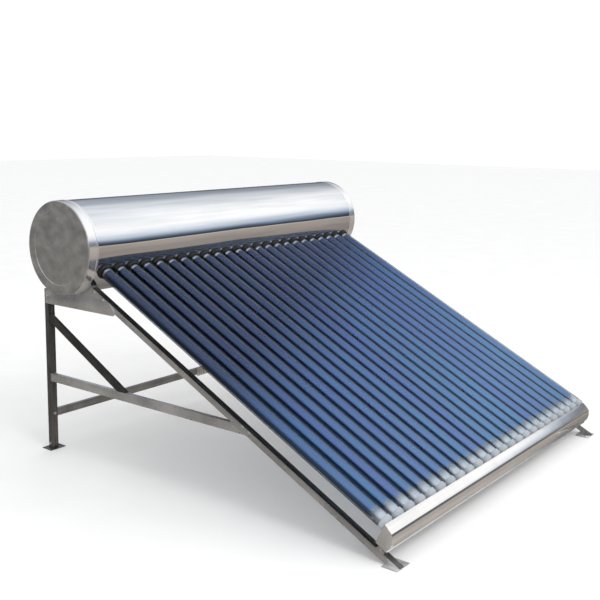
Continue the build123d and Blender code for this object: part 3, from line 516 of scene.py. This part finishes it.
WALL = 0.0016
NIPPLE_RADIUS = 0.005
NIPPLE = 0.015
SEGMENTS = 40
DOME_STEPS = 8
MOUTH_SEAM = 0.00003
MIDDLE_RING = 0.9
dome_stop = math.degrees(math.acos(NIPPLE_RADIUS / tube_radius))
outside = [(open_along, tube_radius - WALL), (open_along, tube_radius)]
outside += [(dome_along - MIDDLE_RING, tube_radius)]
outside += quarter(dome_along, tube_radius, 0, dome_stop, DOME_STEPS)
dome_tip = dome_along + tube_radius
outside += [(dome_tip + NIPPLE * 0.5, NIPPLE_RADIUS * 0.85)]
outside += [(dome_tip + NIPPLE * 0.9, NIPPLE_RADIUS * 0.5), (dome_tip + NIPPLE, POLE)]
inside = [(dome_along + tube_radius - WALL, POLE)]
inside += quarter(dome_along, tube_radius - WALL, 80, 0, DOME_STEPS)
inside += [(open_along, tube_radius - WALL)]


def glass_wall():
    """The two skins are turned apart, because a fold through the pole would pinch them together."""
    skin = turned("glass_skin", outside, SEGMENTS)
    lining = turned("glass_lining", inside, SEGMENTS)
    join(skin, lining)
    bpy.ops.object.mode_set(mode="EDIT")
    bpy.ops.mesh.select_all(action="SELECT")
    bpy.ops.mesh.remove_doubles(threshold=MOUTH_SEAM)
    bpy.ops.mesh.normals_make_consistent(inside=False)
    bpy.ops.object.mode_set(mode="OBJECT")
    return skin


first_glass = lay_on_slope(glass_wall(), station[tubes[0]])
first_glass.data.materials.append(glass)
print("glass wall faces", len(first_glass.data.polygons))

# %% [markdown]
# ## Evacuated tubes: the absorber
# Inside the vacuum is a second glass tube with a dark selective coating, sputtered on in thin layers.
# The blue is deep near the tank and lighter towards the foot and towards +X: a painted reflection of
# the sky. Thin layers shift colour, so it is also a little different from tube to tube. Just below the
# tank a pale band is a painted highlight.

# %% Absorber coating
ABSORBER_RADIUS = 0.0235
HIGHLIGHT_BAND_END = tank_radius + 0.026
EDGE_BLUR = 0.004
DARK_AT = 0.9
LIGHT_AT = -1.0
HALF_WIDTH = 0.93
# The pale band just below the tank is a painted highlight.
PAINTED_HIGHLIGHT_BAND = (0.62, 0.64, 0.72, 1)
tank_axis_on_slope = Vector((0, tank_axis.y, tank_axis.z)).dot(up_slope)
coating, shader = new_material("selective_coating", metallic=1.0)
place = place_on_slope(coating)
# Painted reflection of the sky: the blue lightens down the slope and towards +X.
down = spread(coating, place["Y"], DARK_AT, LIGHT_AT)
across = spread(coating, place["X"], -HALF_WIDTH, HALF_WIDTH)
from_slope = calculate(coating, "MULTIPLY", down, 0.7)
sky_reflection_share = calculate(coating, "MULTIPLY_ADD", across, 0.3, from_slope)
sky_lit_blues = [(0.1, (0.026, 0.04, 0.098)), (0.3, (0.034, 0.06, 0.15)), (0.44, (0.086, 0.166, 0.36))]
sky_lit_blues += [(0.72, (0.14, 0.258, 0.47)), (1.0, (0.132, 0.232, 0.40))]
blue = ramp(coating, sky_reflection_share, sky_lit_blues)
each_tube = place_noise(coating, (1, 0.02, 0.02), 11.0, 1.0)
tints = [(0.35, (0.96, 0.87, 1.03)), (0.5, (1.0, 1.0, 1.0)), (0.65, (0.87, 1.08, 1.05))]
tint = ramp(coating, each_tube, tints)
tinted = mix(coating, 1.0, blue, tint, blend_type="MULTIPLY")
highlight_band_edge = tank_axis_on_slope - HIGHLIGHT_BAND_END
in_highlight_band = spread(coating, place["Y"], highlight_band_edge - EDGE_BLUR, highlight_band_edge + EDGE_BLUR)
link(coating, mix(coating, in_highlight_band, tinted, PAINTED_HIGHLIGHT_BAND), shader.inputs["Base Color"])
link(coating, span(coating, place_noise(coating, (1, 1, 1), 5.0), 0.26, 0.34), shader.inputs["Roughness"])

GETTER_START = dome_along - 0.045
GETTER_FADE = 0.040
getter, shader = new_material("getter_mirror", metallic=0.85)
cloud = place_noise(getter, (1, 1, 1), 12.0, 3.0)
film_tone = ramp(getter, cloud, [(0.3, (0.50, 0.54, 0.60)), (0.7, (0.62, 0.66, 0.72))])
link(getter, film_tone, shader.inputs["Base Color"])
link(getter, span(getter, cloud, 0.22, 0.34), shader.inputs["Roughness"])
film_edge = tank_axis_on_slope - GETTER_START
thickness = spread(getter, place_on_slope(getter)["Y"], film_edge, film_edge - GETTER_FADE)
show_through(getter, shader, thickness)

clip_steel = frame_sheet("clip_steel", *zinc_tones, (0.2, 0.3))

# %% [markdown]
# The inner tube is turned in one go with its own dome. The silver film that keeps the vacuum clean
# lies on the outer wall's inside near the foot, so it is a second short shell, and a small sprung
# steel clip holds the inner dome centred. The three are joined, because they move as one.

# %% Absorber, getter film and clip
ABSORBER_DOME = dome_along - 0.043
FILM_GAP = 0.0003
SET_BACK = 0.004
absorber_mouth = open_along + SET_BACK
absorber_rings = [(absorber_mouth, ABSORBER_RADIUS - WALL), (absorber_mouth, ABSORBER_RADIUS)]
absorber_rings += [(ABSORBER_DOME - MIDDLE_RING, ABSORBER_RADIUS)]
absorber_rings += quarter(ABSORBER_DOME, ABSORBER_RADIUS, 0, 90, DOME_STEPS)
film_radius = tube_radius - WALL - FILM_GAP
film_rings = [(GETTER_START, film_radius)] + quarter(dome_along, film_radius, 0, 90, DOME_STEPS)
clip_rings = [
    (ABSORBER_DOME + 0.024, ABSORBER_RADIUS - 0.009),
    (ABSORBER_DOME + 0.028, film_radius - 0.0012),
    (ABSORBER_DOME + 0.036, film_radius - 0.0008),
    (ABSORBER_DOME + 0.042, ABSORBER_RADIUS - 0.009),
]


def inner_parts():
    absorber = turned("absorber", absorber_rings, SEGMENTS)
    absorber.data.materials.append(coating)
    film = turned("getter_film", film_rings, SEGMENTS)
    film.data.materials.append(getter)
    clip = turned("spring_clip", clip_rings, 12)
    clip.data.materials.append(clip_steel)
    return join(absorber, film, clip)


first_inner = lay_on_slope(inner_parts(), station[tubes[0]])
print("inner parts faces", len(first_inner.data.polygons))

# %% [markdown]
# All 24 tubes are alike, so the first is copied to the others' places, each copy with a mesh of its
# own. A tube's wall and core both ride the tube's body, because they slide up the slope together.

# %% Copies for the other tubes
for index, name in enumerate(tubes):
    shift = Vector((station[name] - station[tubes[0]], 0, 0))
    number = name[-2:]
    wall = first_glass if index == 0 else copy_along(first_glass, f"glass_tube_{number}", shift)
    core = first_inner if index == 0 else copy_along(first_inner, f"absorber_{number}", shift)
    wall.name, core.name = f"glass_tube_{number}", f"absorber_{number}"
    for piece in (wall, core):
        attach(piece, f"tube_{number}")
    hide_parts(name)
print("tube pieces", 2 * len(tubes))

# %% [markdown]
# ## Dust collars
# Each tube passes into the tank through a moulded rubber collar with a flange on the shell, a tapered
# nose and a rolled bead where it grips the glass. The stack of rings gives it those rounded edges.

# %% Dust collars
ring_low, ring_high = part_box("dust_rings")
flange_radius = (ring_high.x - ring_low.x) / 2 - (station[tubes[-1]] - station[tubes[0]]) / 2
face_along = tank_radius + 0.0002
bore = tube_radius + 0.00008
collar_rings = [
    (face_along - 0.010, bore),
    (face_along - 0.010, flange_radius - 0.003),
    (face_along, flange_radius - 0.003),
    (face_along, flange_radius - 0.0006),
    (face_along + 0.0008, flange_radius),
    (face_along + 0.0032, flange_radius),
    (face_along + 0.0040, flange_radius - 0.0008),
    (face_along + 0.0046, flange_radius - 0.0030),
    (face_along + 0.0090, tube_radius + 0.0024),
    (face_along + 0.0100, tube_radius + 0.0032),
    (face_along + 0.0120, tube_radius + 0.0034),
    (face_along + 0.0130, tube_radius + 0.0022),
    (face_along + 0.0132, bore),
    (face_along - 0.010, bore),
]
collar = lay_on_slope(turned("dust_collars", collar_rings, SEGMENTS), station[tubes[0]])
collar.data.materials.append(rubber)
collars = [collar]
for name in tubes[1:]:
    collars.append(copy_along(collar, "collar", Vector((station[name] - station[tubes[0]], 0, 0))))
join(*collars)
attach(collar, "heater_frame")
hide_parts("dust_rings")
print("collar faces", len(collar.data.polygons))

# %% [markdown]
# ## Rounded sheet edges
# Sheet that has been sheared, punched and folded has no knife edges: every edge is rounded by half a
# millimetre or so, and that thin round is what catches the light along a leg or a rail. The shapes
# are right already, so each sheet piece is copied, its loose triangles are merged, and a narrow
# bevel rounds its sharp edges. The copy stands for the plain piece.

# %% Rounded sheet edges
SIDE_PIECES = ("rear_leg", "front_rail", "side_tie", "tank_saddle", "foot_pad_rear", "foot_pad_front")
SHEET_SLOTS = {
    "frame_steel": ["front_cross_tie", "cross_bar_splice"],
    "tail_steel": ["tail_rail"],
    "dark_frame_steel": [],
}
for side in ("left", "right"):
    SHEET_SLOTS["frame_steel"] += [f"{part}_{side}" for part in (*SIDE_PIECES, "rear_cross_bar")]
    SHEET_SLOTS["tail_steel"].append(f"tail_end_cap_{side}")
    SHEET_SLOTS["dark_frame_steel"].append(f"knee_brace_{side}")
EDGE_ROUND = 0.0005
SHEET_SEAM = 0.00001
FLAT_WITHIN = math.radians(0.5)
SHARP_FROM = math.radians(35)


def rounded_copy(name):
    piece = nodes[name].copy()
    piece.data = nodes[name].data.copy()
    piece.parent = None
    piece.name = f"{name}_sheet"
    bpy.context.scene.collection.objects.link(piece)
    pick(piece)
    bpy.ops.object.mode_set(mode="EDIT")
    bpy.ops.mesh.select_all(action="SELECT")
    bpy.ops.mesh.remove_doubles(threshold=SHEET_SEAM)
    bpy.ops.mesh.dissolve_limited(angle_limit=FLAT_WITHIN)
    bpy.ops.object.mode_set(mode="OBJECT")
    edges = piece.modifiers.new("edges", "BEVEL")
    edges.width = EDGE_ROUND
    edges.segments = 2
    edges.limit_method = "ANGLE"
    edges.angle_limit = SHARP_FROM
    bpy.ops.object.modifier_apply(modifier="edges")
    bpy.ops.object.shade_smooth_by_angle(angle=SHARP_FROM)
    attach(piece, "heater_frame")
    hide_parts(name)
    return len(piece.data.polygons)


face_counts = []
for slot, names in SHEET_SLOTS.items():
    for name in names:
        face_counts.append(rounded_copy(name))
print("rounded pieces", len(face_counts), "faces", sum(face_counts))

# %% [markdown]
# ## Studio
# The floor is plain and pale. Polished metal shows whatever is round it, so the surroundings matter
# more than the lamps: a bright sky above, a dark line of distance at the horizon and warm ground
# below it, which is what a mirror-finished tank shows outdoors. The bands waver a little, as a real
# skyline does. Only reflections see them: the camera and the soft light get plain white all round.

# %% Surroundings
WAVER = 0.14
world = bpy.data.worlds.new("studio")
world.use_nodes = True
bpy.context.scene.world = world
bpy.context.scene.view_settings.view_transform = "Standard"
direction = node(world, "ShaderNodeTexCoord").outputs["Generated"]
split = node(world, "ShaderNodeSeparateXYZ")
link(world, direction, split.inputs["Vector"])
wobble = node(world, "ShaderNodeTexNoise")
wobble.inputs["Scale"].default_value = 7.0
wobble.inputs["Detail"].default_value = 6.0
link(world, direction, wobble.inputs["Vector"])
height = calculate(world, "MULTIPLY_ADD", wobble.outputs["Fac"], WAVER, split.outputs["Z"])
height_share = spread(world, height, WAVER / 2 - 1, WAVER / 2 + 1)

# Bands of colour from straight down, at 0, through the horizon, at 0.5, to straight up, at 1.
ahead = ramp(world, height_share, [
    (0.00, (0.22, 0.20, 0.185)),
    (0.22, (0.38, 0.34, 0.31)),
    (0.32, (0.27, 0.235, 0.21)),
    (0.50, (0.37, 0.325, 0.29)),
    (0.512, (0.58, 0.53, 0.48)),
    (0.518, (0.025, 0.03, 0.04)),
    (0.548, (0.07, 0.09, 0.13)),
    (0.58, (0.20, 0.26, 0.35)),
    (0.62, (0.50, 0.56, 0.64)),
    (0.67, (0.86, 0.89, 0.93)),
    (0.72, (1.0, 1.0, 1.0)),
    (0.82, (1.0, 1.0, 1.0)),
    (1.00, (0.85, 0.89, 0.96)),
])
behind = ramp(world, height_share, [
    (0.00, (0.13, 0.12, 0.11)),
    (0.45, (0.22, 0.20, 0.18)),
    (0.51, (0.05, 0.05, 0.06)),
    (0.58, (0.12, 0.13, 0.15)),
    (0.66, (0.30, 0.32, 0.36)),
    (0.78, (0.42, 0.45, 0.50)),
    (0.88, (0.60, 0.63, 0.68)),
    (0.95, (0.80, 0.83, 0.88)),
    (1.00, (0.85, 0.89, 0.96)),
])
turned_behind = spread(world, split.outputs["Y"], -0.2, 0.45)
bands = mix(world, turned_behind, ahead, behind)
seen_in_reflection = node(world, "ShaderNodeLightPath").outputs["Is Glossy Ray"]
background = world.node_tree.nodes["Background"]
link(world, mix(world, seen_in_reflection, (1.0, 1.0, 1.0, 1), bands), background.inputs["Color"])
background.inputs["Strength"].default_value = 1.06
print("world nodes", len(world.node_tree.nodes))

# %% [markdown]
# The floor takes soft shadows but stays out of reflections, where the bands stand for the ground.
# One large lamp above the front gives the shadows a side, and is kept out of reflections too.

# %% Floor and lights
deselect()
bpy.ops.mesh.primitive_plane_add(size=60, location=(0, 0, 0))
floor = bpy.context.object
floor.name = "studio_floor"
floor_paint, shader = new_material("floor_paint", roughness=0.7)
paper = place_noise(floor_paint, (1, 1, 1), 3.0)
pale = ramp(floor_paint, paper, [(0.3, (0.93, 0.93, 0.93)), (0.7, (0.96, 0.96, 0.96))])
link(floor_paint, pale, shader.inputs["Base Color"])
floor.data.materials.append(floor_paint)
floor.visible_glossy = False


def soft_lamp(name, place, target, size, power):
    data = bpy.data.lights.new(name, "AREA")
    data.size = size
    data.energy = power
    lamp = bpy.data.objects.new(name, data)
    bpy.context.scene.collection.objects.link(lamp)
    lamp.location = place
    lamp.rotation_euler = (Vector(target) - Vector(place)).to_track_quat("-Z", "Y").to_euler()
    lamp.visible_glossy = False
    return lamp


soft_lamp("key_lamp", (-1.5, -4.5, 5.0), (0, 0, 0.4), 3.0, 120.0)
